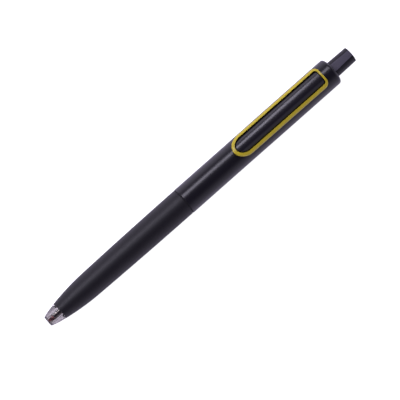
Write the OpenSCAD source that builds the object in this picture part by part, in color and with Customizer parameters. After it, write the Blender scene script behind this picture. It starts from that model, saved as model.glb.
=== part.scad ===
// Retractable counterfeit detector pen: a push-button body holding an iodine-ink fibre-nib cartridge.
// The pen lies along X with its nose at -X and its button at +X. The clip is on top, at +Z.
// Every station is a distance along the pen from the nose's open end.

/* [Body] */
// Outer radius of the upper barrel between the seam and the clip
barrel_r = 5.25; // [5.2:0.05:5.3]
// Outer radius of the upper barrel under the clip's root, where it has swelled slightly
barrel_top_r = 5.31; // [5.3:0.01:5.34]
// Wall of the upper barrel
barrel_wall = 0.95; // [0.9:0.05:0.95]
// Length of the clear nose that shows ahead of the grip
nose_length = 5.5; // [5.4:0.05:5.6]
// Outer radius of the nose at its open end
nose_end_r = 1.97; // [1.93:0.02:2.01]
// Outer radius where the nose meets the grip
nose_back_r = 3.3; // [3.3:0.05:3.35]
// Length of the grip
grip_length = 58.15; // [58:0.05:58.4]
// Outer radius of the grip at the end of its nose curve
grip_shoulder_r = 4.75; // [4.71:0.01:4.79]
// Station at which the nose curve of the grip ends
grip_shoulder_at = 20; // [19.5:0.5:21]
// Length of the upper barrel
upper_length = 70.7; // [70.5:0.1:71]
// Thickness of the washer between grip and upper barrel
washer_thickness = 0.3; // [0.25:0.05:0.4]
// Station at which the barrel starts to swell
swell_from = 86.5; // [85:0.5:87]
// Station at which the barrel has reached its full radius
swell_to = 107; // [105:1:110]
// Radius of the rounded rim at the button end of the barrel
rim_radius = 1.2; // [1:0.1:1.3]

/* [Clip] */
// Station of the clip's lower tip
clip_tip_at = 87.8; // [87.7:0.1:88]
// Length of the clip
clip_length = 42; // [41.9:0.1:42.2]
// Half of the clip's width
clip_half_w = 4.1; // [4:0.05:4.15]
// Width of the coloured frame along the sides of the clip
frame_side = 1.05; // [0.9:0.05:1.1]
// Width of the frame at the lower tip
frame_tip = 1.15; // [1:0.05:1.2]
// Width of the frame at the button end
frame_top = 0.7; // [0.6:0.05:0.9]
// Length of the rounded lower end of the clip
tip_round = 5.3; // [5:0.1:5.6]
// Radius of the two corners at the button end of the clip
corner_r = 1.8; // [1.6:0.1:2]
// Radius of the clip's arched top face
arch_r = 6.3; // [6.25:0.05:6.35]
// Height of the arch's centre above the pen's axis
arch_rise = 1.75; // [1.75:0.05:1.85]
// Depth of the coloured frame
frame_depth = 1.3; // [1.2:0.05:1.35]

/* [Button and nib] */
// Travel of the button, and of the cartridge that it pushes
stroke = 5; // [4.5:0.1:5]
// Length of the button that stands out of the barrel
button_out = 8.85; // [8.7:0.05:9]
// Radius of the button where it enters the barrel
button_r = 3.17; // [3.12:0.01:3.2]
// Radius of the button at its face
button_face_r = 3.01; // [2.97:0.01:3.05]
// Height of the key flat above the button's axis
button_flat = 2.78; // [2.75:0.01:2.85]
// Station of the nib's point with the nib drawn in
nib_tip_at = 0.6; // [0.5:0.1:0.8]
// Length of the cartridge, point to rear end
cartridge_length = 98.1; // [98:0.1:98.1]
// Outer radius of the cartridge tube
cartridge_r = 2.95; // [2.9:0.05:3]
// Radius of the nib's stem
nib_r = 0.92; // [0.9:0.01:0.93]
// Outer radius of the metal collar that grips the nib
collar_r = 1.14; // [1.12:0.01:1.16]
// Turns of the return spring that are free to close up
spring_turns = 9; // [7:1:10]
// Radius of the spring's wire
wire_r = 0.17; // [0.15:0.01:0.18]

/* [Hidden] */
$fn = 96;

// stations along the pen
seam_at = nose_length + grip_length;
upper_at = seam_at + washer_thickness;
barrel_end = upper_at + upper_length;
pen_length = barrel_end + button_out;
clip_top_at = clip_tip_at + clip_length;
cartridge_end = nib_tip_at + cartridge_length;

// fits
running = 0.06; // radial clearance of a part that slides or turns
seated = 0.02; // radial clearance of a part that is pressed or screwed home
thread_h = 0.12; // height of a thread's crest
thread_pitch = 0.8;

// nose and front of the grip
nose_bore_r = collar_r + 0.08;
pocket_at = nose_length + 0.5; // front seat of the return spring
pocket_r = 2.05;
spigot_r = 2.62;
spigot_end = nose_length + 6.5;
grip_bore_r = 3.35;

// sleeve that joins the two barrels
coupling_from = seam_at - 9.6;
coupling_to = upper_at + 11;
barrel_bore_r = barrel_r - barrel_wall;
coupling_bore_r = 3.3;

// end wall of the upper barrel
end_wall = 1.4;
wall_at = barrel_end - end_wall;

// clip root, which passes through a slot in the barrel
root_from = clip_top_at - 8.3;
root_length = 6;
root_half_w = 1;
slot_play = 0.2;
root_bottom = 3.12; // just clear of the button's key flat
pin_at = root_from + root_length / 2;
pin_h = 3.55;
pin_r = 0.3;
pin_half = 1.45;
anchor_in_r = 3.3;
anchor_margin = 2.2;
crown_h = arch_rise + arch_r; // height of the clip's crown above the pen's axis
carrier_drop = frame_depth + 0.05;
carrier_thick = 0.65;
carrier_half_w = 3.5;
side_gap = 0.4; // groove between frame and inlay along the sides
end_gap = 0.4; // the same groove at the two ends
crown_half_w = 1.45;
bevel_foot_h = 6.85; // height at which the inlay's bevel ends
nub_r = 1.1;
nub_gap = 0.25; // between the clip's nub and the barrel

// clicking mechanism
groove_r = 3.62;
guide_bore_r = 2.98;
plunger_r = guide_bore_r - running;
key_r = groove_r - running;
guide_from = cartridge_end - 0.7;
guide_to = 119;
groove_to = 117;
groove_deg = 36;
key_deg = 32;
fin_deg = 20;
fin_from = cartridge_end + 4.8;
fin_to = fin_from + 6;
land_end = fin_to - stroke + 0.5; // the rotor's fins latch on this edge
crown_teeth = 8;
tooth_h = 0.8;
crown_in_r = 2.3;
crown_gap = 0.95; // free play, so the two rings of teeth pass each other at any turn of the rotor
plunger_from = fin_to + tooth_h + crown_gap;
key_from = plunger_from + 0.8;
key_to = groove_to - 0.2;
stem_r = 2.4;
cap_from = 126;
cap_bore_to = pen_length - 3.2;
pilot_r = 1.2;

// cartridge
nib_cone = 1.6;
collar_from = nib_tip_at + 2.2;
collar_to = 22;
holder_from = spigot_end + stroke + 0.6; // rear seat of the return spring
holder_r = 2.4;
tube_from = holder_from + 4;
tube_bore_r = cartridge_r - 0.4;
plug_from = cartridge_end - 5;

// return spring, from its seat in the nose to the nib holder
spring_r = 1.75;
spring_from = pocket_at + 0.02;
spring_length = holder_from - pocket_at - 0.04;
ring_steps = 16;
wire_sides = 8;
closed_turns = 1; // close-wound turns at each end

// places children, modelled around the pen's axis with X as the station, in the part's frame
module from_axis() {
    translate([-pen_length / 2, 0, barrel_top_r]) children();
}

// solid of revolution about the pen's axis; points are [radius, station]
module turned(points) {
    rotate([0, 90, 0]) rotate_extrude() polygon(points);
}

// cylinder about the pen's axis between two stations
module rod(from, to, r) {
    translate([from, 0, 0]) rotate([0, 90, 0]) cylinder(h = to - from, r = r);
}

// wedge of a ring about the pen's axis, centred on the angle at
module ring_wedge(from, to, in_r, out_r, deg, at) {
    translate([from, 0, 0]) rotate([0, 90, 0]) rotate([0, 0, at - deg / 2])
        rotate_extrude(angle = deg)
            translate([in_r, 0]) square([out_r - in_r, to - from]);
}

// half-round crests of a rolled thread, drawn as rings
module thread_rings(from, to, r) {
    rings = floor((to - from) / thread_pitch);
    for (k = [0 : rings - 1])
        turned([
            [r - 0.2, from + k * thread_pitch],
            [r, from + k * thread_pitch],
            [r + thread_h, from + (k + 0.3) * thread_pitch],
            [r + thread_h, from + (k + 0.5) * thread_pitch],
            [r, from + (k + 0.8) * thread_pitch],
            [r - 0.2, from + (k + 0.8) * thread_pitch]
        ]);
}

// point on a cubic curve through four control points
function bezier(a, b, c, d, u) =
    pow(1 - u, 3) * a + 3 * pow(1 - u, 2) * u * b + 3 * (1 - u) * u * u * c + pow(u, 3) * d;

// outside of the clear nose, open end to grip, as [radius, station]
function nose_outline() = [
    for (k = [0 : 8]) bezier(
        [nose_end_r, 0.15], [nose_end_r + 0.64, 1.6],
        [nose_back_r - 0.42, nose_length - 2.2], [nose_back_r, nose_length], k / 8)
];

// outside of the grip, nose to seam, as [radius, station]
function grip_outline() = concat(
    [for (k = [0 : 14]) bezier(
        [nose_back_r + 0.04, nose_length], [nose_back_r + 0.59, nose_length + 3.2],
        [grip_shoulder_r - 0.08, grip_shoulder_at - 6], [grip_shoulder_r, grip_shoulder_at],
        k / 14)],
    [for (k = [1 : 12]) bezier(
        [grip_shoulder_r, grip_shoulder_at], [grip_shoulder_r + 0.25, grip_shoulder_at + 12],
        [barrel_r - 0.08, seam_at - 16], [barrel_r - 0.07, seam_at - 0.15], k / 12)]
);

// plan of the clip, or of a shape inset in it
function clip_plan(half_w, tip, top, round_len, corner) = concat(
    [for (a = [90 : 7.5 : 270]) [tip + round_len + round_len * cos(a), half_w * sin(a)]],
    [for (a = [-90 : 15 : 0])
        [top - corner + corner * cos(a), -half_w + corner + corner * sin(a)]],
    [for (a = [0 : 15 : 90])
        [top - corner + corner * cos(a), half_w - corner + corner * sin(a)]]
);

// arched bar under the clip's top face, lowered by drop
module arch(drop) {
    translate([clip_tip_at - 1, 0, arch_rise - drop]) rotate([0, 90, 0])
        cylinder(h = clip_length + 2, r = arch_r);
}

// upright column with the clip's plan, cut to an arched layer between two drops
module clip_layer(points, top_drop, bottom_drop) {
    intersection() {
        linear_extrude(height = crown_h + 1) polygon(points);
        difference() {
            arch(top_drop);
            arch(bottom_drop);
        }
    }
}

// saw teeth around the pen's axis, pointing along the direction dir, the first at the angle phase
module tooth_ring(at, r, dir, phase) {
    pitch = 2 * r * sin(180 / crown_teeth);
    intersection() {
        ring_wedge(at - tooth_h, at + tooth_h, crown_in_r, r, 360, 0);
        for (k = [0 : crown_teeth - 1])
            rotate([phase + k * 360 / crown_teeth, 0, 0])
                translate([at, 0, crown_in_r - 0.4]) linear_extrude(height = r)
                    polygon([
                        [-0.05 * dir, -pitch / 2],
                        [tooth_h * dir, 0],
                        [-0.05 * dir, pitch / 2]
                    ]);
    }
}

// clear moulded nose: guides the nib, seats the spring and screws into the grip
module nose_cone() {
    color([0.86, 0.84, 0.86, 0.35]) from_axis() difference() {
        union() {
            turned(concat(
                [[0, 0], [nose_end_r - 0.15, 0]],
                nose_outline(),
                [[spigot_r, nose_length], [spigot_r, spigot_end - 0.3],
                 [spigot_r - 0.3, spigot_end], [0, spigot_end]]
            ));
            thread_rings(nose_length + 1.2, spigot_end - 0.9, spigot_r);
        }
        turned([
            [0, -1], [nose_bore_r + 0.25, -1], [nose_bore_r + 0.25, 0], [nose_bore_r, 0.25],
            [nose_bore_r, pocket_at], [pocket_r, pocket_at], [pocket_r, spigot_end + 1],
            [0, spigot_end + 1]
        ]);
    }
}

// tapered grip, moulded and coated soft-touch black
module grip_barrel() {
    color([0.11, 0.1, 0.13]) from_axis() difference() {
        turned(concat(
            [[spigot_r + 0.1, nose_length]],
            grip_outline(),
            [[barrel_r - 0.17, seam_at], [barrel_bore_r, seam_at],
             [grip_bore_r - 0.2, coupling_from], [spigot_r, spigot_end]]
        ));
        rod(nose_length - 1, spigot_end + 0.6, spigot_r + thread_h + seated);
        rod(spigot_end + 0.5, coupling_from, grip_bore_r);
        rod(coupling_from - 0.05, seam_at + 1, barrel_bore_r + thread_h);
    }
}

// thin washer that shows as the dark line between grip and upper barrel
module seam_washer() {
    color([0.04, 0.04, 0.05]) from_axis() difference() {
        rod(seam_at, upper_at, barrel_r - 0.2);
        rod(seam_at - 1, upper_at + 1, barrel_bore_r + seated);
    }
}

// brass sleeve: pressed into the upper barrel and threaded into the grip
module barrel_coupling() {
    color([0.72, 0.58, 0.3]) from_axis() difference() {
        union() {
            rod(coupling_from + 0.2, coupling_to, barrel_bore_r - seated);
            thread_rings(coupling_from + 0.8, seam_at - 1.2, barrel_bore_r - seated);
        }
        rod(coupling_from - 1, coupling_to + 1, coupling_bore_r);
    }
}

// outline of the upper barrel's outside, seam to end face, with its rounded rim
function upper_outline() = concat(
    [[barrel_r - 0.15, upper_at], [barrel_r, upper_at + 0.15],
     [barrel_r, swell_from], [barrel_top_r, swell_to]],
    [for (a = [0 : 15 : 90]) [
        barrel_top_r - rim_radius + rim_radius * cos(a),
        barrel_end - rim_radius + rim_radius * sin(a)
    ]]
);

// straight upper barrel, closed at the top by a wall with a keyed hole for the button
module upper_barrel() {
    hole_r = button_r + running;
    color([0.1, 0.09, 0.12]) from_axis() difference() {
        turned(concat([[0, upper_at]], upper_outline(), [[0, barrel_end]]));
        rod(upper_at - 1, wall_at, barrel_bore_r);
        intersection() {
            rod(wall_at - 1, barrel_end + 1, hole_r);
            translate([wall_at - 2, -barrel_r, -barrel_r])
                cube([end_wall + 4, 2 * barrel_r, barrel_r + button_flat + running]);
        }
        translate([root_from - slot_play, -root_half_w - slot_play, 0])
            cube([root_length + 2 * slot_play, 2 * (root_half_w + slot_play), barrel_top_r + 1]);
    }
}

// coloured frame around the clip, which snaps over the carrier
module clip_frame() {
    inner_plan = clip_plan(
        clip_half_w - frame_side, clip_tip_at + frame_tip, clip_top_at - frame_top,
        tip_round - frame_tip, corner_r - 0.7
    );
    color([0.74, 0.68, 0.2]) from_axis() difference() {
        clip_layer(
            clip_plan(clip_half_w, clip_tip_at, clip_top_at, tip_round, corner_r),
            0, frame_depth
        );
        linear_extrude(height = crown_h + 1) polygon(inner_plan);
    }
}

// glossy domed panel inside the frame, with bevelled sides
module clip_inlay() {
    half_w = clip_half_w - frame_side - side_gap;
    tip = clip_tip_at + frame_tip + end_gap;
    top = clip_top_at - frame_top - end_gap;
    color([0.06, 0.06, 0.08]) from_axis() intersection() {
        clip_layer(
            clip_plan(half_w, tip, top, tip_round - frame_tip - end_gap, corner_r - 0.9),
            0.1, frame_depth
        );
        translate([tip - 1, 0, 0]) rotate([90, 0, 90]) linear_extrude(height = top - tip + 2)
            polygon([
                [-half_w - 0.1, 0], [half_w + 0.1, 0], [half_w + 0.1, bevel_foot_h],
                [crown_half_w, crown_h - 0.25], [crown_half_w - 0.4, crown_h],
                [0.4 - crown_half_w, crown_h], [-crown_half_w, crown_h - 0.25],
                [-half_w - 0.1, bevel_foot_h]
            ]);
    }
}

// springy black plate under the frame: its root passes through the barrel's slot
module clip_carrier() {
    margin = clip_half_w - carrier_half_w;
    color([0.07, 0.07, 0.08]) from_axis() difference() {
        union() {
            clip_layer(
                clip_plan(
                    carrier_half_w, clip_tip_at + margin, clip_top_at - margin,
                    tip_round - margin, corner_r - 0.4
                ),
                carrier_drop, carrier_drop + carrier_thick
            );
            translate([root_from, -root_half_w, root_bottom])
                cube([root_length, 2 * root_half_w, crown_h - carrier_drop - 0.3 - root_bottom]);
            intersection() {
                translate([clip_tip_at + tip_round, 0, barrel_r + nub_gap + nub_r])
                    sphere(r = nub_r);
                arch(carrier_drop + 0.1);
            }
        }
        translate([pin_at, 0, pin_h]) rotate([90, 0, 0])
            cylinder(h = 4 * root_half_w, r = pin_r + 0.03, center = true);
    }
}

// saddle pressed into the barrel, which holds the clip's root by its pin
module clip_anchor() {
    color([0.3, 0.3, 0.32]) from_axis() difference() {
        ring_wedge(
            root_from - anchor_margin, root_from + root_length + anchor_margin,
            anchor_in_r, barrel_bore_r - seated, 90, 180
        );
        translate([root_from - slot_play, -root_half_w - slot_play, 0])
            cube([root_length + 2 * slot_play, 2 * (root_half_w + slot_play), barrel_r]);
        translate([pin_at, 0, pin_h]) rotate([90, 0, 0])
            cylinder(h = 2 * pin_half + 0.1, r = pin_r + 0.01, center = true);
    }
}

// steel pin through the saddle and the clip's root
module clip_pin() {
    color([0.7, 0.7, 0.72]) from_axis()
        translate([pin_at, 0, pin_h]) rotate([90, 0, 0])
            cylinder(h = 2 * pin_half, r = pin_r, center = true);
}

// button that the thumb presses, a deep cap with a key flat on the clip's side
module button_cap() {
    edge = 0.35;
    color([0.15, 0.14, 0.18]) from_axis() difference() {
        turned([
            [0, cap_from], [button_r, cap_from], [button_r, barrel_end],
            [button_face_r, pen_length - edge - 0.1],
            [button_face_r - 0.11, pen_length - 0.21],
            [button_face_r - edge, pen_length - 0.1], [0, pen_length]
        ]);
        rod(cap_from - 1, cap_bore_to, stem_r + seated);
        translate([cap_from - 1, -barrel_r, button_flat])
            cube([pen_length - cap_from + 2, 2 * barrel_r, barrel_r]);
    }
}

// white plunger under the button: keys run in the guide and its crown turns the rotor
module cam_plunger() {
    color([0.85, 0.85, 0.82]) from_axis() difference() {
        union() {
            rod(plunger_from, guide_to + 1.5, plunger_r);
            rod(guide_to + 1.5, cap_bore_to - 0.2, stem_r);
            for (k = [0 : 3])
                ring_wedge(key_from, key_to, stem_r, key_r, key_deg, 45 + 90 * k);
            tooth_ring(plunger_from, plunger_r, -1, 180 / crown_teeth);
        }
        rod(plunger_from - 2, plunger_from + 8, pilot_r + running);
    }
}

// rotor that latches the cartridge out, with four fins and a crown of teeth
module cam_rotor() {
    color([0.55, 0.12, 0.1]) from_axis() union() {
        rod(cartridge_end + 0.05, fin_from, 2.6);
        rod(fin_from, fin_to, plunger_r);
        rod(fin_to, plunger_from + 2, pilot_r);
        tooth_ring(fin_to, plunger_r, 1, 0);
        for (k = [0 : 3])
            ring_wedge(fin_from, fin_to, stem_r, key_r, fin_deg, 45 + 90 * k);
    }
}

// guide pressed into the barrel: four grooves, and lands whose ends hold the rotor out
module cam_guide() {
    color([0.8, 0.8, 0.78]) from_axis() difference() {
        rod(guide_from, guide_to, barrel_bore_r - seated);
        rod(guide_from - 1, guide_to + 1, guide_bore_r);
        rod(guide_from - 1, land_end, groove_r);
        for (k = [0 : 3])
            ring_wedge(land_end - 1, groove_to, stem_r, groove_r, groove_deg, 45 + 90 * k);
    }
}

// ring pressed in behind the guide so that it can't creep forward
module guide_retainer() {
    color([0.72, 0.72, 0.74]) from_axis() difference() {
        rod(guide_from - 2, guide_from - 0.05, barrel_bore_r - seated);
        rod(guide_from - 3, guide_from + 1, coupling_bore_r);
    }
}

// height along the spring at turn t: close-wound at both ends, open between
function spring_height(t) =
    let (
        closed_h = 2 * wire_r * 1.05 * closed_turns,
        open_h = spring_length - 2 * wire_r - 2 * closed_h
    )
    t < closed_turns ? t / closed_turns * closed_h
    : t > closed_turns + spring_turns
        ? closed_h + open_h + (t - closed_turns - spring_turns) / closed_turns * closed_h
    : closed_h + (t - closed_turns) / spring_turns * open_h;

// wire return spring around the nib collar, a round wire swept along its coil
module return_spring() {
    rings = (spring_turns + 2 * closed_turns) * ring_steps;
    points = [
        for (k = [0 : rings]) let (
            t = k / ring_steps,
            x = spring_from + wire_r + spring_height(t)
        )
        for (j = [0 : wire_sides - 1]) let (
            a = 360 * j / wire_sides,
            r = spring_r + wire_r * cos(a)
        )
        [x + wire_r * sin(a), r * cos(360 * t), r * sin(360 * t)]
    ];
    sides = [
        for (k = [0 : rings - 1]) for (j = [0 : wire_sides - 1]) let (
            n = (j + 1) % wire_sides
        )
        [
            k * wire_sides + j, k * wire_sides + n,
            (k + 1) * wire_sides + n, (k + 1) * wire_sides + j
        ]
    ];
    first_cap = [for (j = [wire_sides - 1 : -1 : 0]) j];
    last_cap = [for (j = [0 : wire_sides - 1]) rings * wire_sides + j];
    color([0.75, 0.75, 0.77]) from_axis()
        polyhedron(points, concat(sides, [first_cap, last_cap]), convexity = 10);
}

// reddish-brown fibre nib, ground to a point, whose tail draws ink from the reservoir
module nib() {
    color([0.42, 0.16, 0.17]) from_axis() turned([
        [0, nib_tip_at], [0.13, nib_tip_at + 0.03], [0.22, nib_tip_at + 0.14],
        [nib_r, nib_tip_at + nib_cone], [nib_r, collar_to + 5],
        [nib_r - 0.3, collar_to + 6], [0, collar_to + 6]
    ]);
}

// thin stainless tube that grips the nib and slides in the nose's bore
module nib_collar() {
    color([0.75, 0.74, 0.76]) from_axis() difference() {
        turned([
            [0, collar_from], [collar_r - 0.08, collar_from], [collar_r, collar_from + 0.12],
            [collar_r, collar_to], [0, collar_to]
        ]);
        rod(collar_from - 1, collar_to + 1, nib_r + 0.01);
    }
}

// front housing of the cartridge: seats the spring and plugs the tube
module nib_holder() {
    color([0.16, 0.15, 0.17]) from_axis() difference() {
        turned([
            [0, holder_from], [holder_r - 0.2, holder_from], [holder_r, holder_from + 0.2],
            [holder_r, tube_from - 1.2], [cartridge_r, tube_from - 1], [cartridge_r, tube_from],
            [tube_bore_r - 0.01, tube_from], [tube_bore_r - 0.01, tube_from + 4],
            [tube_bore_r - 0.4, tube_from + 4.4], [0, tube_from + 4.4]
        ]);
        rod(holder_from - 1, collar_to, collar_r + 0.01);
        rod(collar_to - 0.01, tube_from + 5, nib_r + 0.02);
    }
}

// tube of the cartridge
module cartridge_tube() {
    color([0.7, 0.7, 0.72]) from_axis() difference() {
        rod(tube_from + 0.01, cartridge_end - 1.2, cartridge_r);
        rod(tube_from - 1, cartridge_end, tube_bore_r);
    }
}

// fibre rod soaked with iodine ink
module ink_reservoir() {
    color([0.5, 0.3, 0.14]) from_axis() difference() {
        rod(tube_from + 4.6, plug_from - 0.3, tube_bore_r - 0.05);
        rod(tube_from + 4, collar_to + 6.2, nib_r + 0.02);
    }
}

// vented plug at the rear of the cartridge, which the rotor pushes
module cartridge_plug() {
    color([0.16, 0.15, 0.17]) from_axis() difference() {
        turned([
            [0, plug_from], [tube_bore_r - 0.3, plug_from], [tube_bore_r - 0.01, plug_from + 0.3],
            [tube_bore_r - 0.01, cartridge_end - 1.19], [cartridge_r, cartridge_end - 1.19],
            [cartridge_r, cartridge_end - 0.3], [cartridge_r - 0.3, cartridge_end],
            [0, cartridge_end]
        ]);
        rod(plug_from - 1, cartridge_end + 1, 0.5);
    }
}

nose_cone();
grip_barrel();
seam_washer();
barrel_coupling();
upper_barrel();
clip_frame();
clip_inlay();
clip_carrier();
clip_anchor();
clip_pin();
button_cap();
cam_plunger();
cam_rotor();
cam_guide();
guide_retainer();
return_spring();
nib();
nib_collar();
nib_holder();
cartridge_tube();
ink_reservoir();
cartridge_plug();
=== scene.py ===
import math

import bmesh
import bpy
from mathutils import Matrix, Vector
from mathutils.geometry import interpolate_bezier


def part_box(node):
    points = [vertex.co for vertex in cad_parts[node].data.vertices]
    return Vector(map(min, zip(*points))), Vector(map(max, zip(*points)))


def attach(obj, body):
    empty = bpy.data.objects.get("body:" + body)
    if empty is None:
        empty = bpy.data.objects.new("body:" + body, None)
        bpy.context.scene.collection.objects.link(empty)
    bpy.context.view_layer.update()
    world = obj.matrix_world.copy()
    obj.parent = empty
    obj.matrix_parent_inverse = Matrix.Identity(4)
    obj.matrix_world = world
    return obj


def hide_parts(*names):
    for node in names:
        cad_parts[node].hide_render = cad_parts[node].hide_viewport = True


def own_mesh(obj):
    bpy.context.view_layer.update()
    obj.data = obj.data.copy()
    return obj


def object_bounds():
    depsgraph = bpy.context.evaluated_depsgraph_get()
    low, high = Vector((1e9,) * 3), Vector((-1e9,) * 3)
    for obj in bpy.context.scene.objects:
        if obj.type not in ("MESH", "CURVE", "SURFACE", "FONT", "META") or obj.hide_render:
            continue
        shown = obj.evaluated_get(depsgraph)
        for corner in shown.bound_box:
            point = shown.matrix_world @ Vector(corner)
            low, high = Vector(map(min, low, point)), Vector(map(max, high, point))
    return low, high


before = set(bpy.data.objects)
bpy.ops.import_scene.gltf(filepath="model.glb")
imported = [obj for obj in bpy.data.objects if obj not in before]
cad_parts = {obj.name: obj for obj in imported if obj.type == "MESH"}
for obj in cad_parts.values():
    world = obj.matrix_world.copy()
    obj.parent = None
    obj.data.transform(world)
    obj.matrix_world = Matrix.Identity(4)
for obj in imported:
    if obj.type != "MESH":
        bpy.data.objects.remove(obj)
cad_low, cad_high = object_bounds()


# ---------------------------------------------------------------------------------------------
# Nose cone: moulded in clear, faintly smoky acrylic. It guides the nib's collar, seats the
# return spring in a pocket and screws into the front of the grip on its threaded spigot.

MM = 0.001
nose_low, nose_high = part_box("nose_cone")
open_end = nose_low.x
axis_z = (nose_low.z + nose_high.z) / 2
nose_length = (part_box("grip_barrel")[0].x - open_end) / MM
spigot_end = (nose_high.x - open_end) / MM
nose_mouth_r = 1.97
nose_back_r = 3.3
nose_bore_r = 1.22
pocket_at = nose_length + 0.5
pocket_r = 2.05
spigot_r = 2.62
mouth_flare = 0.25
thread_from = nose_length + 1.2
thread_count = 5
thread_pitch = 0.8
thread_h = 0.12


def select_where(piece, wanted):
    """Selects, in edit mode, the vertices whose place passes the test, and what lies between them."""
    bpy.ops.mesh.select_mode(type="VERT")
    bpy.ops.mesh.select_all(action="DESELECT")
    mesh = bmesh.from_edit_mesh(piece.data)
    for vert in mesh.verts:
        vert.select_set(bool(wanted(vert.co)))
    mesh.select_flush(True)
    bmesh.update_edit_mesh(piece.data)


def draw_line(points, closed=False):
    """Draws a chain of edges through the points in the mesh being edited, corner by corner."""
    bpy.ops.mesh.primitive_plane_add(size=MM)
    bpy.ops.mesh.merge(type="CENTER")
    bpy.ops.transform.translate(value=points[0])
    for here, there in zip(points, points[1:]):
        step = Vector(there) - Vector(here)
        bpy.ops.mesh.extrude_region_move(TRANSFORM_OT_translate={"value": step})
    if closed:
        ends = (Vector(points[0]), Vector(points[-1]))
        piece = bpy.context.edit_object
        select_where(piece, lambda co: min((co - end).length for end in ends) < MM / 500)
        bpy.ops.mesh.edge_face_add()


def start_piece(name, points, closed=False):
    """Starts a new piece at the origin as a drawn line, and leaves it in edit mode."""
    bpy.ops.object.select_all(action="DESELECT")
    bpy.ops.mesh.primitive_plane_add(size=MM)
    piece = bpy.context.object
    piece.name = name
    piece.data.name = name
    bpy.ops.object.mode_set(mode="EDIT")
    bpy.ops.mesh.delete(type="VERT")
    draw_line(points, closed)
    return piece


def close_up(piece):
    """Merges seams and poles, turns the faces outwards and leaves edit mode."""
    bpy.ops.mesh.select_all(action="SELECT")
    bpy.ops.mesh.remove_doubles(threshold=MM / 1000)
    bpy.ops.mesh.normals_make_consistent(inside=False)
    bpy.ops.object.mode_set(mode="OBJECT")
    return piece


def turn(name, outline, hollow=True, around=144):
    """Turns an outline of (station, radius) points, in mm, once about the pen's axis."""
    line = [(open_end + s * MM, 0, axis_z + r * MM) for s, r in outline]
    piece = start_piece(name, line, closed=hollow)
    bpy.ops.mesh.select_all(action="SELECT")
    bpy.ops.mesh.spin(steps=around, angle=2 * math.pi, center=(0, 0, axis_z), axis=(1, 0, 0))
    return close_up(piece)


def apply_modifier(piece, kind, **settings):
    """Adds one modifier with these settings and applies it."""
    bpy.ops.object.select_all(action="DESELECT")
    piece.select_set(True)
    bpy.context.view_layer.objects.active = piece
    modifier = piece.modifiers.new(kind.title(), kind)
    for name, value in settings.items():
        setattr(modifier, name, value)
    bpy.ops.object.modifier_apply(modifier=modifier.name)


def smooth(sharper_than=32):
    """Shades the active piece smooth, but for edges sharper than this angle in degrees."""
    bpy.ops.object.shade_smooth_by_angle(angle=math.radians(sharper_than))


def round_edges(piece, width, segments=3, sharper_than=32):
    """Rounds every edge that is sharper than the angle, and smooths the rest."""
    apply_modifier(
        piece, "BEVEL", width=width * MM, segments=segments, limit_method="ANGLE",
        angle_limit=math.radians(sharper_than), use_clamp_overlap=True,
    )
    smooth(sharper_than)


def curve(start, start_pull, end_pull, end, steps):
    """Points on a smooth curve between two (station, radius) points."""
    knots = [Vector(p) for p in (start, start_pull, end_pull, end)]
    return [(p.x, p.y) for p in interpolate_bezier(*knots, steps)]


def thread_crests(start, count, radius):
    """Crests of a moulded thread along a spigot, drawn as rings."""
    crests = []
    for k in range(count):
        for share, rise in ((0, 0), (0.3, thread_h), (0.5, thread_h), (0.8, 0)):
            crests.append((start + (k + share) * thread_pitch, radius + rise))
    return crests


def new_group(name, inputs, outputs):
    """Starts a shader node group with float inputs (a name that ends in Position is a vector)."""
    group = bpy.data.node_groups.new(name, "ShaderNodeTree")
    for socket, value in inputs.items():
        kind = "NodeSocketVector" if socket.endswith("Position") else "NodeSocketFloat"
        made = group.interface.new_socket(name=socket, in_out="INPUT", socket_type=kind)
        if value is not None:
            made.default_value = value
    for socket in outputs:
        group.interface.new_socket(name=socket, in_out="OUTPUT", socket_type="NodeSocketFloat")
    into = group.nodes.new("NodeGroupInput")
    out = group.nodes.new("NodeGroupOutput")
    return group, into, out


def add_noise(tree, place, scale, detail, stretch=None):
    """Adds a noise texture read at a place, where scale is a socket or a number."""
    noise = tree.nodes.new("ShaderNodeTexNoise")
    noise.inputs["Detail"].default_value = detail
    if stretch:
        mapping = tree.nodes.new("ShaderNodeMapping")
        mapping.inputs["Scale"].default_value = stretch
        tree.links.new(place, mapping.inputs["Vector"])
        place = mapping.outputs["Vector"]
    tree.links.new(place, noise.inputs["Vector"])
    if isinstance(scale, (int, float)):
        noise.inputs["Scale"].default_value = scale
    else:
        tree.links.new(scale, noise.inputs["Scale"])
    return noise.outputs["Fac"]


def add_range(tree, value, low, high, to_low, to_high):
    """Maps a value from one range to another, clamped."""
    node = tree.nodes.new("ShaderNodeMapRange")
    for socket, number in zip(("From Min", "From Max", "To Min", "To Max"), (low, high, to_low, to_high)):
        node.inputs[socket].default_value = number
    tree.links.new(value, node.inputs["Value"])
    return node.outputs["Result"]


# Surface of a moulding or a coating: fine grain for its feel, broad cloud for its flow marks,
# and hairlines, the few long scuffs that handling leaves along the pen.
moulded_skin, into, out = new_group(
    "moulded_skin", {"Position": None, "Grain per metre": 6000.0}, ("Grain", "Cloud", "Hairline"))
moulded_skin.links.new(
    add_noise(moulded_skin, into.outputs["Position"], into.outputs["Grain per metre"], 3),
    out.inputs["Grain"])
moulded_skin.links.new(add_noise(moulded_skin, into.outputs["Position"], 260, 2), out.inputs["Cloud"])
hairs = add_noise(moulded_skin, into.outputs["Position"], 1, 2, stretch=(120, 5200, 5200))
moulded_skin.links.new(add_range(moulded_skin, hairs, 0.66, 0.74, 0, 1), out.inputs["Hairline"])


def start_material(name, **sockets):
    """Starts a material whose constant values sit directly on the shader's own sockets."""
    material = bpy.data.materials.new(name)
    material.use_nodes = True
    shader = material.node_tree.nodes["Principled BSDF"]
    for socket, value in sockets.items():
        shader.inputs[socket.replace("_", " ")].default_value = value
    place = material.node_tree.nodes.new("ShaderNodeTexCoord").outputs["Object"]
    return material, material.node_tree, shader, place


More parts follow.
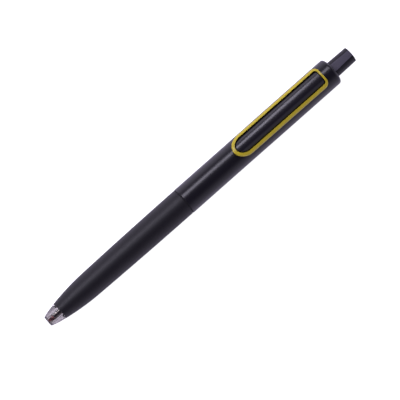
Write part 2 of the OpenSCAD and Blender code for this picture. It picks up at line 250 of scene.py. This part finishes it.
def add_skin(tree, place, grain_mm):
    """Places the moulded skin in a material, with a grain of this size."""
    skin = tree.nodes.new("ShaderNodeGroup")
    skin.node_tree = moulded_skin
    skin.inputs["Grain per metre"].default_value = 1 / (grain_mm * MM)
    tree.links.new(place, skin.inputs["Position"])
    return skin.outputs


def add_mix(tree, mask, one, other):
    """Mixes two colours by a mask."""
    mix = tree.nodes.new("ShaderNodeMix")
    mix.data_type = "RGBA"
    tree.links.new(mask, mix.inputs["Factor"])
    for socket, colour in ((mix.inputs["A"], one), (mix.inputs["B"], other)):
        if isinstance(colour, tuple):
            socket.default_value = (*colour, 1)
        else:
            tree.links.new(colour, socket)
    return mix.outputs["Result"]


def add_bump(tree, shader, height, depth_mm):
    """Raises the surface by up to this depth where the height is 1."""
    bump = tree.nodes.new("ShaderNodeBump")
    bump.inputs["Strength"].default_value = 1
    bump.inputs["Distance"].default_value = depth_mm * MM
    tree.links.new(height, bump.inputs["Height"])
    tree.links.new(bump.outputs["Normal"], shader.inputs["Normal"])


def add_sum(tree, one, other, share):
    """Adds a share of one value to another."""
    node = tree.nodes.new("ShaderNodeMath")
    node.operation = "MULTIPLY_ADD"
    node.inputs[1].default_value = share
    tree.links.new(other, node.inputs[0])
    tree.links.new(one, node.inputs[2])
    return node.outputs["Value"]


def moulding(name, colour, flow_colour, roughness, spread, grain_mm, depth_mm, **sockets):
    """Material of a moulded or coated plastic piece."""
    material, tree, shader, place = start_material(name, **sockets)
    skin = add_skin(tree, place, grain_mm)
    tree.links.new(add_mix(tree, skin["Cloud"], colour, flow_colour), shader.inputs["Base Color"])
    worn = add_sum(tree, skin["Grain"], skin["Hairline"], -0.35)
    tree.links.new(
        add_range(tree, worn, 0, 1, roughness - spread, roughness + spread),
        shader.inputs["Roughness"])
    add_bump(tree, shader, add_sum(tree, skin["Grain"], skin["Cloud"], 0.5), depth_mm)
    return material


def finish(piece, material, body, slot, *nodes):
    """Gives a piece its material and its body, and hides the CAD nodes that it stands for; the slot is not
    used.
    """
    piece.data.materials.clear()
    piece.data.materials.append(material)
    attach(piece, body)
    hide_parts(*nodes)
    return piece


def finish_node(node, material):
    """Gives a CAD node that stays its own material."""
    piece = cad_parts[node]
    piece.data.materials.clear()
    piece.data.materials.append(material)


nose = turn("clear_nose", [
    (0, nose_bore_r + mouth_flare),
    (0, nose_mouth_r - 0.02),
    *curve((0.12, nose_mouth_r), (1.6, nose_mouth_r + 0.64),
           (nose_length - 2.2, nose_back_r - 0.42), (nose_length, nose_back_r), 16),
    (nose_length, spigot_r),
    *thread_crests(thread_from, thread_count, spigot_r),
    (spigot_end, spigot_r),
    (spigot_end, pocket_r),
    (pocket_at, pocket_r),
    (pocket_at, nose_bore_r),
    (mouth_flare, nose_bore_r),
])
round_edges(nose, 0.07)
clear_acrylic, tree, shader, place = start_material(
    "clear_acrylic", Transmission_Weight=1.0, IOR=1.49, Metallic=0.0)
skin = add_skin(tree, place, 0.6)
# The base colour turns dark where the surface faces away from the view: a painted dark rim, painted shade
# and reflection along the nose's edges.
facing = tree.nodes.new("ShaderNodeLayerWeight")
facing.inputs["Blend"].default_value = 0.5
painted_dark_rim = add_range(tree, facing.outputs["Facing"], 0.2, 0.75, 0, 1)
smoke = add_mix(tree, skin["Cloud"], (0.50, 0.48, 0.44), (0.56, 0.54, 0.495))
tree.links.new(add_mix(tree, painted_dark_rim, smoke, (0.15, 0.142, 0.137)), shader.inputs["Base Color"])
tree.links.new(add_range(tree, skin["Grain"], 0, 1, 0.03, 0.12), shader.inputs["Roughness"])
add_bump(tree, shader, skin["Grain"], 0.0015)
finish(nose, clear_acrylic, "shell", "clear_nose", "nose_cone")


# ---------------------------------------------------------------------------------------------
# Grip: a long tapered moulding with a soft-touch coat, sprayed matte black. Its nose end is
# drawn in to meet the clear nose, and its back end is threaded for the coupling.

seam = (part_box("grip_barrel")[1].x - open_end) / MM
barrel_r = 5.25
barrel_bore_r = 4.3
shoulder_at = 20
shoulder_r = 4.75
coupling_from = (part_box("barrel_coupling")[0].x - open_end) / MM - 0.2
grip_bore_r = 3.35
front_bore_r = spigot_r + thread_h + 0.02
back_bore_r = barrel_bore_r + thread_h

grip = turn("grip_barrel_coated", [
    (nose_length + 0.01, front_bore_r),
    *curve((nose_length + 0.01, nose_back_r + 0.04), (nose_length + 3.2, nose_back_r + 0.59),
           (shoulder_at - 6, shoulder_r - 0.08), (shoulder_at, shoulder_r), 20),
    *curve((shoulder_at, shoulder_r), (shoulder_at + 12, shoulder_r + 0.25),
           (seam - 16, barrel_r - 0.08), (seam - 0.01, barrel_r - 0.07), 20)[1:],
    (seam - 0.01, back_bore_r),
    (coupling_from - 0.05, back_bore_r),
    (coupling_from - 0.05, grip_bore_r),
    (spigot_end + 0.5, grip_bore_r),
    (spigot_end + 0.5, front_bore_r),
])
round_edges(grip, 0.14)
soft_touch = moulding(
    "soft_touch_coat", (0.0045, 0.0038, 0.0062), (0.007, 0.006, 0.0092), 0.5, 0.1, 0.16, 0.003,
    Specular_IOR_Level=0.5, Sheen_Weight=0.04, Sheen_Roughness=0.5)
finish(grip, soft_touch, "shell", "grip_coating", "grip_barrel")


# ---------------------------------------------------------------------------------------------
# Seam washer: a thin black rubber washer, set a little below the surface between the two
# barrels, where it shows as a dark line and keeps them from rattling.

upper_at = (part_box("upper_barrel")[0].x - open_end) / MM
washer = turn("seam_ring", [
    (seam, barrel_bore_r + 0.02),
    (seam, barrel_r - 0.2),
    (upper_at, barrel_r - 0.2),
    (upper_at, barrel_bore_r + 0.02),
])
round_edges(washer, 0.05, segments=2)
rubber = moulding(
    "black_rubber", (0.006, 0.006, 0.007), (0.009, 0.009, 0.01), 0.7, 0.1, 0.08, 0.006,
    Specular_IOR_Level=0.4)
finish(washer, rubber, "shell", "black_rubber", "seam_washer")


# ---------------------------------------------------------------------------------------------
# Upper barrel: a straight satin black moulding that swells slightly towards its rounded rim.
# A wall at the top has a keyed hole for the button, and the clip's root passes a slot.

swell_from = 86.5
swell_to = 107
barrel_top_r = 5.31
rim_radius = 1.2
barrel_end = (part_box("upper_barrel")[1].x - open_end) / MM
top_wall = 1.4
wall_at = barrel_end - top_wall
button_r = 3.17
button_flat = 2.78
running = 0.06
slot_play = 0.2
root_from = 121.5
root_length = 6
root_half_w = 1


def combine(piece, other, operation):
    """Works another shape into a piece, and takes the other shape away."""
    apply_modifier(piece, "BOOLEAN", object=other, operation=operation, solver="EXACT")
    bpy.data.objects.remove(other)


def cut_away(piece, tool):
    """Cuts a tool's shape out of a piece."""
    combine(piece, tool, "DIFFERENCE")


def block(name, low, high):
    """A box between two corners given as (station, across, height above the axis), in mm."""
    low, high = [Vector((open_end + s * MM, y * MM, axis_z + h * MM)) for s, y, h in (low, high)]
    bpy.ops.object.select_all(action="DESELECT")
    bpy.ops.mesh.primitive_cube_add(size=1, location=(low + high) / 2, scale=high - low)
    bpy.ops.object.transform_apply(location=True, rotation=True, scale=True)
    bpy.context.object.name = name
    return bpy.context.object


def trim_above(piece, height):
    """Cuts off all that stands higher than this above the axis."""
    cut_away(piece, block("above", (-10, -10, height), (160, 10, height + 20)))


barrel = turn("upper_barrel_satin", [
    (wall_at, 0),
    (wall_at, barrel_bore_r),
    (upper_at + 0.01, barrel_bore_r),
    (upper_at + 0.01, barrel_r),
    (swell_from, barrel_r),
    (swell_to, barrel_top_r),
    *[(barrel_end - rim_radius * (1 - math.sin(math.radians(a))),
       barrel_top_r - rim_radius * (1 - math.cos(math.radians(a)))) for a in range(0, 91, 9)],
    (barrel_end, 0),
], hollow=False)
round_edges(barrel, 0.14)
key_punch = turn("key_punch", [
    (wall_at - 1, 0),
    (wall_at - 1, button_r + running),
    (barrel_end + 1, button_r + running),
    (barrel_end + 1, 0),
], hollow=False, around=96)
trim_above(key_punch, button_flat + running)
cut_away(barrel, key_punch)
root_slot = block(
    "root_slot", (root_from - slot_play, -root_half_w - slot_play, 3),
    (root_from + root_length + slot_play, root_half_w + slot_play, 7))
cut_away(barrel, root_slot)
smooth()
satin_black = moulding(
    "satin_black", (0.0055, 0.005, 0.0078), (0.008, 0.0072, 0.0112), 0.29, 0.03, 0.35, 0.0003,
    Specular_IOR_Level=0.5, Coat_Weight=0.15, Coat_Roughness=0.3)
finish(barrel, satin_black, "shell", "satin_black", "upper_barrel")


# ---------------------------------------------------------------------------------------------
# Barrel coupling: a sleeve turned from brass bar. It is pressed into the upper barrel, and its
# thread takes the grip, so that the pen can be opened to change the cartridge.

def worked_metal(name, bright, dull, grain_mm, marks_scale, roughness, depth_mm):
    """Material of a metal piece, with the fine marks that its making leaves along one way."""
    metal, tree, shader, place = start_material(name, Metallic=1.0)
    skin = add_skin(tree, place, grain_mm)
    marks = add_noise(tree, place, 1, 2, stretch=marks_scale)
    tree.links.new(add_mix(tree, skin["Cloud"], bright, dull), shader.inputs["Base Color"])
    tree.links.new(add_range(tree, marks, 0.3, 0.7, *roughness), shader.inputs["Roughness"])
    add_bump(tree, shader, marks, depth_mm)
    return metal


brass = worked_metal(
    "turned_brass", (0.62, 0.42, 0.16), (0.50, 0.33, 0.12), 0.12, (26000, 400, 400), (0.2, 0.38), 0.003)
finish_node("barrel_coupling", brass)


# ---------------------------------------------------------------------------------------------
# Clip frame: a loop moulded in yellow, arched across and round at its tip. It snaps over the
# carrier's edge and outlines the whole clip.

clip_low, clip_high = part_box("clip_frame")
tip_at = (clip_low.x - open_end) / MM
top_at = (clip_high.x - open_end) / MM
clip_half_w = clip_high.y / MM
frame_side = 1.05
frame_tip = 1.15
frame_top = 0.7
frame_depth = 1.3
tip_round = 5.3
corner_r = 1.8
arch_r = 6.3
arch_rise = 1.75
arch_reach = 4.25
crown_h = arch_rise + arch_r


def arch_height(y, drop=0.0):
    """Height above the axis of the clip's arched face, this far across."""
    return arch_rise - drop + math.sqrt(arch_r ** 2 - y ** 2)


def clip_outline(half_w, tip, top, round_length, corner):
    """Plan of the clip, or of a shape inset in it, as points at the height of the crown."""
    plan = []
    for a in range(90, 271, 5):
        turned = math.radians(a)
        plan.append((tip + round_length * (1 + math.cos(turned)), half_w * math.sin(turned)))
    for side in (-1, 1):
        for a in range(0, 91, 10):
            turned = math.radians(a if side < 0 else 90 - a)
            plan.append((top - corner * (1 - math.sin(turned)),
                         side * (half_w - corner * (1 - math.cos(turned)))))
    return [(open_end + s * MM, y * MM, axis_z + crown_h * MM) for s, y in plan]


def press_on(piece, section):
    """Presses what is selected on a former that has this section of (across, height) points."""
    bpy.ops.object.vertex_group_assign_new()
    bpy.ops.object.mode_set(mode="OBJECT")
    group = piece.vertex_groups[-1].name
    start, end = open_end + (tip_at - 2) * MM, open_end + (top_at + 2) * MM
    former = start_piece("former", [(start, y * MM, axis_z + h * MM) for y, h in section])
    bpy.ops.mesh.select_all(action="SELECT")
    bpy.ops.mesh.extrude_region_move(TRANSFORM_OT_translate={"value": (end - start, 0, 0)})
    bpy.ops.object.mode_set(mode="OBJECT")
    apply_modifier(
        piece, "SHRINKWRAP", target=former, vertex_group=group, wrap_method="PROJECT",
        use_project_z=True, use_positive_direction=True, use_negative_direction=True)
    piece.vertex_groups.clear()
    bpy.data.objects.remove(former)


def slice_at(places):
    """Cuts the sheet that is being edited along the pen, at each place across it."""
    for y in places:
        bpy.ops.mesh.select_all(action="SELECT")
        bpy.ops.mesh.bisect(plane_co=(0, y * MM, 0), plane_no=(0, 1, 0))
    bpy.ops.mesh.select_all(action="SELECT")


def arch_section(reach, drop, step=0.25):
    """Section of the arch out to a reach on both sides, as (across, height) points."""
    count = round(2 * reach / step)
    return [(-reach + k * step, arch_height(-reach + k * step, drop)) for k in range(count + 1)]


def thicken(piece, depth):
    """Draws an open sheet down to its depth, and leaves it in edit mode."""
    bpy.context.view_layer.objects.active = piece
    bpy.ops.object.mode_set(mode="EDIT")
    bpy.ops.mesh.select_all(action="SELECT")
    bpy.ops.mesh.extrude_region_move(TRANSFORM_OT_translate={"value": (0, 0, -depth * MM)})


clip_frame = start_piece(
    "clip_frame_yellow", clip_outline(clip_half_w, tip_at, top_at, tip_round, corner_r), closed=True)
draw_line(clip_outline(
    clip_half_w - frame_side, tip_at + frame_tip, top_at - frame_top,
    tip_round - frame_tip, corner_r - 0.7), closed=True)
bpy.ops.mesh.select_all(action="SELECT")
bpy.ops.mesh.bridge_edge_loops()
frame_section = arch_section(arch_reach, 0)
slice_at([y for y, h in frame_section])
press_on(clip_frame, frame_section)
thicken(clip_frame, frame_depth)
close_up(clip_frame)
round_edges(clip_frame, 0.13, sharper_than=40)
yellow = moulding(
    "yellow_moulding", (0.72, 0.585, 0.034), (0.66, 0.53, 0.028), 0.3, 0.04, 0.25, 0.0015,
    Specular_IOR_Level=0.5)
finish(clip_frame, yellow, "clip", "yellow_frame", "clip_frame")


# ---------------------------------------------------------------------------------------------
# Clip inlay: a panel moulded in gloss black and polished. Its crown follows the frame's arch,
# and a bevel falls away along each side to the groove that sets it off from the frame.

side_gap = 0.4
end_gap = 0.4
inlay_drop = 0.1
crown_half_w = 1.48
inlay_half_w = clip_half_w - frame_side - side_gap
bevel_foot_w = inlay_half_w + 0.1
bevel_foot_h = 6.85

crown_edge_h = arch_height(crown_half_w, inlay_drop)
inlay_section = [
    (-bevel_foot_w, bevel_foot_h), (-crown_half_w, crown_edge_h), *arch_section(1.25, inlay_drop),
    (crown_half_w, crown_edge_h), (bevel_foot_w, bevel_foot_h)]
inlay = start_piece("clip_inlay_gloss", clip_outline(
    inlay_half_w, tip_at + frame_tip + end_gap, top_at - frame_top - end_gap,
    tip_round - frame_tip - end_gap, corner_r - 0.9), closed=True)
bpy.ops.mesh.select_all(action="SELECT")
bpy.ops.mesh.edge_face_add()
slice_at([y for y, h in inlay_section])
press_on(inlay, inlay_section)
thicken(inlay, frame_depth)
press_on(inlay, arch_section(3, frame_depth))
bpy.ops.object.mode_set(mode="EDIT")
close_up(inlay)
round_edges(inlay, 0.1, sharper_than=25)
gloss_black = moulding(
    "gloss_black", (0.006, 0.0054, 0.0085), (0.008, 0.0073, 0.0112), 0.3, 0.03, 0.5, 0.0002,
    Specular_IOR_Level=0.55, Coat_Weight=0.35, Coat_Roughness=0.22)
finish(inlay, gloss_black, "clip", "gloss_black", "clip_inlay")


# ---------------------------------------------------------------------------------------------
# Clip carrier: a springy black nylon plate under the frame. Its root passes through the slot
# in the barrel to the pin, and the nub near its tip bites on the pocket's cloth.

carrier_half_w = 3.5
carrier_margin = clip_half_w - carrier_half_w
carrier_drop = frame_depth + 0.05
carrier_thick = 0.65
root_bottom = 3.12
nub_r = 1.1
nub_gap = 0.25
pin_at = (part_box("clip_pin")[0].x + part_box("clip_pin")[1].x) / 2
pin_z = (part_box("clip_pin")[0].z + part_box("clip_pin")[1].z) / 2
pin_hole_r = 0.33
underside_h = crown_h - carrier_drop

carrier = start_piece("clip_carrier_plate", clip_outline(
    carrier_half_w, tip_at + carrier_margin, top_at - carrier_margin,
    tip_round - carrier_margin, corner_r - 0.4), closed=True)
bpy.ops.mesh.select_all(action="SELECT")
bpy.ops.mesh.edge_face_add()
carrier_section = arch_section(3.5, carrier_drop)
slice_at([y for y, h in carrier_section])
press_on(carrier, carrier_section)
thicken(carrier, carrier_thick)
close_up(carrier)
root = block(
    "root", (root_from, -root_half_w, root_bottom),
    (root_from + root_length, root_half_w, underside_h - 0.3))
round_edges(root, 0.15)
bpy.ops.object.select_all(action="DESELECT")
bpy.ops.mesh.primitive_cylinder_add(
    vertices=48, radius=pin_hole_r * MM, depth=6 * MM, location=(pin_at, 0, pin_z),
    rotation=(math.pi / 2, 0, 0))
pin_drill = bpy.context.object
bpy.ops.object.transform_apply(location=True, rotation=True, scale=True)
cut_away(root, pin_drill)
combine(carrier, root, "UNION")
bpy.ops.object.select_all(action="DESELECT")
bpy.ops.mesh.primitive_uv_sphere_add(
    segments=48, ring_count=24, radius=nub_r * MM,
    location=(open_end + (tip_at + tip_round) * MM, 0, axis_z + (barrel_r + nub_gap + nub_r) * MM))
nub = bpy.context.object
bpy.ops.object.transform_apply(location=True, rotation=True, scale=True)
trim_above(nub, underside_h - 0.25)
combine(carrier, nub, "UNION")
round_edges(carrier, 0.05, segments=2, sharper_than=50)
nylon_black = moulding(
    "black_nylon", (0.008, 0.0078, 0.0092), (0.0115, 0.011, 0.013), 0.42, 0.08, 0.2, 0.004,
    Specular_IOR_Level=0.5)
finish(carrier, nylon_black, "clip", "moulded_black", "clip_carrier")


# ---------------------------------------------------------------------------------------------
# Clip anchor and pin: a grey acetal saddle pressed into the barrel under the slot, and the
# ground steel pin that goes through it and the clip's root.

grey_acetal = moulding(
    "grey_acetal", (0.075, 0.075, 0.085), (0.06, 0.06, 0.07), 0.45, 0.07, 0.2, 0.004,
    Specular_IOR_Level=0.5)
finish_node("clip_anchor", grey_acetal)

steel = worked_metal(
    "ground_steel", (0.62, 0.61, 0.62), (0.52, 0.51, 0.53), 0.1, (900, 22000, 22000), (0.12, 0.28), 0.0015)
finish_node("clip_pin", steel)


# ---------------------------------------------------------------------------------------------
# Button: a deep cap moulded in dark satin plastic, slightly tapered to its face. A flat on the
# clip's side keys it in the barrel's hole, so that it can't turn.

button_end = (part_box("button_cap")[1].x - open_end) / MM
cap_from = (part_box("button_cap")[0].x - open_end) / MM
button_face_r = 3.01
stem_r = 2.4
cap_face = 3.2
cap_bore_to = button_end - cap_face

button = turn("button_cap_satin", [
    (cap_from, stem_r + 0.02),
    (cap_from, button_r),
    (barrel_end, button_r),
    (button_end - 0.1, button_face_r),
    (button_end - 0.05, button_face_r - 0.3),
    (button_end, 0),
    (cap_bore_to, 0),
    (cap_bore_to, stem_r + 0.02),
])
trim_above(button, button_flat)
round_edges(button, 0.09, sharper_than=24)
satin_with_painted_flat, tree, shader, place = start_material("button_satin", Specular_IOR_Level=0.38)
skin = add_skin(tree, place, 0.22)
split = tree.nodes.new("ShaderNodeSeparateXYZ")
tree.links.new(place, split.inputs["Vector"])
# The flat on top of the cap is painted much lighter than its sides: a painted highlight where it faces the
# light, not a colour of the cap's own.
flat_z = axis_z + button_flat * MM
painted_highlight_on_flat = add_range(tree, split.outputs["Z"], flat_z - 0.04 * MM, flat_z - 0.01 * MM, 0, 1)
side_colour = add_mix(tree, skin["Cloud"], (0.006, 0.0055, 0.008), (0.009, 0.0082, 0.012))
painted_highlight_colour = add_mix(tree, skin["Cloud"], (0.077, 0.071, 0.095), (0.088, 0.081, 0.108))
tree.links.new(add_mix(tree, painted_highlight_on_flat, side_colour, painted_highlight_colour), shader.inputs["Base Color"])
tree.links.new(add_range(tree, skin["Grain"], 0, 1, 0.33, 0.47), shader.inputs["Roughness"])
add_bump(tree, shader, add_sum(tree, skin["Grain"], skin["Cloud"], 0.5), 0.002)
finish(button, satin_with_painted_flat, "button", "button_satin", "button_cap")


# ---------------------------------------------------------------------------------------------
# Clicking mechanism: a white acetal plunger in a white guide, a red rotor that the plunger's
# crown turns, and a plated ring that holds the guide in the barrel.

white_acetal = moulding(
    "white_acetal", (0.70, 0.70, 0.66), (0.64, 0.64, 0.60), 0.38, 0.06, 0.25, 0.003,
    Specular_IOR_Level=0.5)
finish_node("cam_plunger", white_acetal)
finish_node("cam_guide", white_acetal)
red_acetal = moulding(
    "red_acetal", (0.30, 0.022, 0.016), (0.24, 0.016, 0.012), 0.36, 0.06, 0.25, 0.003,
    Specular_IOR_Level=0.5)
finish_node("cam_rotor", red_acetal)
finish_node("guide_retainer", steel)


# ---------------------------------------------------------------------------------------------
# Return spring: steel music wire wound around the nib's collar, with a closed turn at each
# end. It sits in the nose's pocket, and the cartridge closes it up as the button goes down.

spring_low, spring_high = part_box("return_spring")
wire_r = 0.17
coil_r = (spring_high.z - spring_low.z) / MM / 2 - wire_r
open_turns = 9
steps_per_turn = 28
closed_rise = 2 * wire_r * 1.05
coil_from = (spring_low.x - open_end) / MM + wire_r
coil_to = (spring_high.x - open_end) / MM - wire_r


def wire_station(turns):
    """Station of the wire's middle after this many turns."""
    open_rise = coil_to - coil_from - 2 * closed_rise
    return (coil_from + closed_rise * (min(turns, 1) + max(turns - 1 - open_turns, 0))
            + open_rise * min(max(turns - 1, 0), open_turns) / open_turns)


wire_path = []
for k in range((open_turns + 2) * steps_per_turn + 1):
    turns = k / steps_per_turn
    angle = 2 * math.pi * turns
    wire_path.append((
        open_end + wire_station(turns) * MM, coil_r * MM * math.cos(angle),
        axis_z + coil_r * MM * math.sin(angle)))
spring = start_piece("return_spring_wire", wire_path)
bpy.ops.object.mode_set(mode="OBJECT")
bpy.ops.object.convert(target="CURVE")
spring = bpy.context.object
spring.data.bevel_depth = wire_r * MM
spring.data.bevel_resolution = 3
spring.data.use_fill_caps = True
bpy.ops.object.convert(target="MESH")
spring = bpy.context.object
bpy.ops.object.mode_set(mode="EDIT")
close_up(spring)
smooth(50)
spring_wire, tree, shader, place = start_material("music_wire", Metallic=1.0)
skin = add_skin(tree, place, 0.05)
wire_colour = add_mix(tree, skin["Cloud"], (0.55, 0.54, 0.55), (0.42, 0.41, 0.43))
tree.links.new(wire_colour, shader.inputs["Base Color"])
tree.links.new(add_range(tree, skin["Grain"], 0.2, 0.8, 0.18, 0.34), shader.inputs["Roughness"])
add_bump(tree, shader, skin["Grain"], 0.001)
finish(spring, spring_wire, "shell", "spring_wire", "return_spring")
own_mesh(spring)


# ---------------------------------------------------------------------------------------------
# Nib: a rod of bonded fibre, ground to a point and stained a dusky pink by the iodine ink
# that it draws from the reservoir.

nib_low, nib_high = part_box("nib")
nib_tip = (nib_low.x - open_end) / MM
nib_tail = (nib_high.x - open_end) / MM
nib_r = 0.92

nib = turn("fibre_nib", [
    (nib_tip, 0),
    *curve((nib_tip + 0.02, 0.12), (nib_tip + 0.1, 0.34), (nib_tip + 1.1, 0.84), (nib_tip + 1.7, nib_r), 12),
    (nib_tail - 1, nib_r),
    (nib_tail, nib_r - 0.3),
    (nib_tail, 0),
], hollow=False, around=72)
round_edges(nib, 0.05, segments=2)
stained_fibre, tree, shader, place = start_material(
    "stained_fibre", Specular_IOR_Level=0.35, Sheen_Weight=0.1, Sheen_Roughness=0.4)
skin = add_skin(tree, place, 0.05)
fibres = add_noise(tree, place, 1, 3, stretch=(900, 16000, 16000))
fibre_mask = add_range(tree, fibres, 0.35, 0.65, 0, 1)
stain = add_mix(tree, fibre_mask, (0.36, 0.11, 0.135), (0.66, 0.32, 0.37))
tree.links.new(add_mix(tree, skin["Cloud"], stain, (0.50, 0.19, 0.225)), shader.inputs["Base Color"])
tree.links.new(add_range(tree, fibres, 0.3, 0.7, 0.55, 0.8), shader.inputs["Roughness"])
add_bump(tree, shader, fibres, 0.02)
finish(nib, stained_fibre, "cartridge", "nib_fibre", "nib")


# ---------------------------------------------------------------------------------------------
# Nib collar: a thin stainless tube, rolled in at its mouth to grip the fibre. It slides in
# the nose's bore and carries the return spring.

collar_from = (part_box("nib_collar")[0].x - open_end) / MM
collar_to = (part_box("nib_collar")[1].x - open_end) / MM
collar_r = 1.14

collar = turn("steel_collar", [
    (collar_from, nib_r + 0.01),
    (collar_from, collar_r - 0.1),
    (collar_from + 0.14, collar_r),
    (collar_to, collar_r),
    (collar_to, nib_r + 0.01),
], around=96)
round_edges(collar, 0.04, segments=2)
finish(collar, steel, "cartridge", "steel", "nib_collar")


# ---------------------------------------------------------------------------------------------
# Cartridge: an aluminium tube that holds the ink-soaked fibre rod, with a black front housing
# that seats the spring and a vented black plug at the rear.

finish_node("nib_holder", nylon_black)
finish_node("cartridge_plug", nylon_black)

drawn_aluminium = worked_metal(
    "drawn_aluminium", (0.66, 0.66, 0.68), (0.58, 0.58, 0.60), 0.15, (200, 14000, 14000),
    (0.26, 0.42), 0.002)
finish_node("cartridge_tube", drawn_aluminium)

ink_fibre, tree, shader, place = start_material("ink_soaked_fibre", Specular_IOR_Level=0.4)
skin = add_skin(tree, place, 0.08)
strands = add_noise(tree, place, 1, 3, stretch=(500, 9000, 9000))
strand_mask = add_range(tree, strands, 0.35, 0.65, 0, 1)
ink_colour = add_mix(tree, strand_mask, (0.16, 0.06, 0.018), (0.30, 0.13, 0.04))
tree.links.new(ink_colour, shader.inputs["Base Color"])
tree.links.new(add_range(tree, skin["Grain"], 0.2, 0.8, 0.5, 0.75), shader.inputs["Roughness"])
add_bump(tree, shader, strands, 0.03)
finish_node("ink_reservoir", ink_fibre)


# ---------------------------------------------------------------------------------------------
# Stage: the pen lies on a white light table, which lights it more weakly than it looks and more
# from its far side. A narrow soft box and a wide faint one stand on the far side, and the room
# fades from dark overhead to pale at the horizon.

camera_way = Vector((-0.122, -0.150, 0.981)).normalized()
camera_distance = 1.3
camera_lens = 331.8
pen_slant = math.radians(41.49)
aim = Vector(((cad_low.x + cad_high.x) / 2, 0, axis_z))
aim_right, aim_up = -0.08, -4.60

along = Vector((1, 0, 0))
along = (along - camera_way * along.dot(camera_way)).normalized()
across = camera_way.cross(along)
image_right = along * math.cos(pen_slant) - across * math.sin(pen_slant)
image_up = along * math.sin(pen_slant) + across * math.cos(pen_slant)


def stand(thing, right, up, back, place):
    """Stands a camera or a light at a place, looking against its back vector."""
    thing.matrix_world = Matrix((right, up, back)).transposed().to_4x4()
    thing.location = place


bpy.ops.object.camera_add()
camera = bpy.context.object
camera.name = "camera"
camera.data.lens = camera_lens
camera.data.sensor_width = 36
camera.data.clip_start = 0.01
stand(
    camera, image_right, image_up, camera_way,
    aim + camera_way * camera_distance + (image_right * aim_right + image_up * aim_up) * MM)
bpy.context.scene.camera = camera
bpy.context.scene.view_settings.view_transform = "Standard"

bpy.ops.object.select_all(action="DESELECT")
bpy.ops.mesh.primitive_plane_add(size=8, location=(0, 0, 0))
light_table = bpy.context.object
light_table.name = "light_table"
white_acrylic, tree, shader, place = start_material(
    "white_acrylic", Roughness=0.6, Base_Color=(0.8, 0.78, 0.83, 1), Emission_Strength=1.0)
seen = tree.nodes.new("ShaderNodeLightPath").outputs["Is Camera Ray"]
split = tree.nodes.new("ShaderNodeSeparateXYZ")
tree.links.new(place, split.inputs["Vector"])
far_side = add_range(tree, split.outputs["Y"], -0.05, 0.05, 0, 1)
glow = add_mix(tree, far_side, (0.22, 0.20, 0.265), (0.50, 0.46, 0.60))
tree.links.new(add_mix(tree, seen, glow, (1.0, 1.0, 1.0)), shader.inputs["Emission Color"])
light_table.data.materials.append(white_acrylic)


def soft_box(name, lean, distance, width, length, radiance, colour):
    """A light whose long side runs with the pen, leaning this many degrees to the pen's far side."""
    angle = math.radians(lean)
    face = (camera_way * math.cos(angle) + across * math.sin(angle)).normalized()
    bpy.ops.object.light_add(type="AREA")
    light = bpy.context.object
    light.name = name
    light.data.shape = "RECTANGLE"
    light.data.size = length
    light.data.size_y = width
    light.data.energy = radiance * math.pi * width * length
    light.data.color = colour
    light.visible_camera = False
    side = (Vector((1, 0, 0)) - face * face.x).normalized()
    stand(light, side, face.cross(side), face, aim + face * distance)


soft_box(
    "strip_box", lean=35, distance=0.5, width=0.15, length=0.7, radiance=4.9,
    colour=(1.0, 0.955, 1.15))
soft_box(
    "side_box", lean=84, distance=0.6, width=0.3, length=0.9, radiance=0.45,
    colour=(1.0, 0.96, 1.12))

world = bpy.data.worlds.new("room")
bpy.context.scene.world = world
world.use_nodes = True
sky = world.node_tree
direction = sky.nodes.new("ShaderNodeTexCoord")
height = sky.nodes.new("ShaderNodeSeparateXYZ")
fade = sky.nodes.new("ShaderNodeValToRGB")
sky.links.new(direction.outputs["Generated"], height.inputs["Vector"])
sky.links.new(height.outputs["Z"], fade.inputs["Fac"])
sky.links.new(fade.outputs["Color"], sky.nodes["Background"].inputs["Color"])
fade.color_ramp.interpolation = "EASE"
fade.color_ramp.elements[0].position = 0.0
fade.color_ramp.elements[0].color = (0.54, 0.505, 0.64, 1)
fade.color_ramp.elements[1].position = 0.75
fade.color_ramp.elements[1].color = (0.085, 0.075, 0.118, 1)
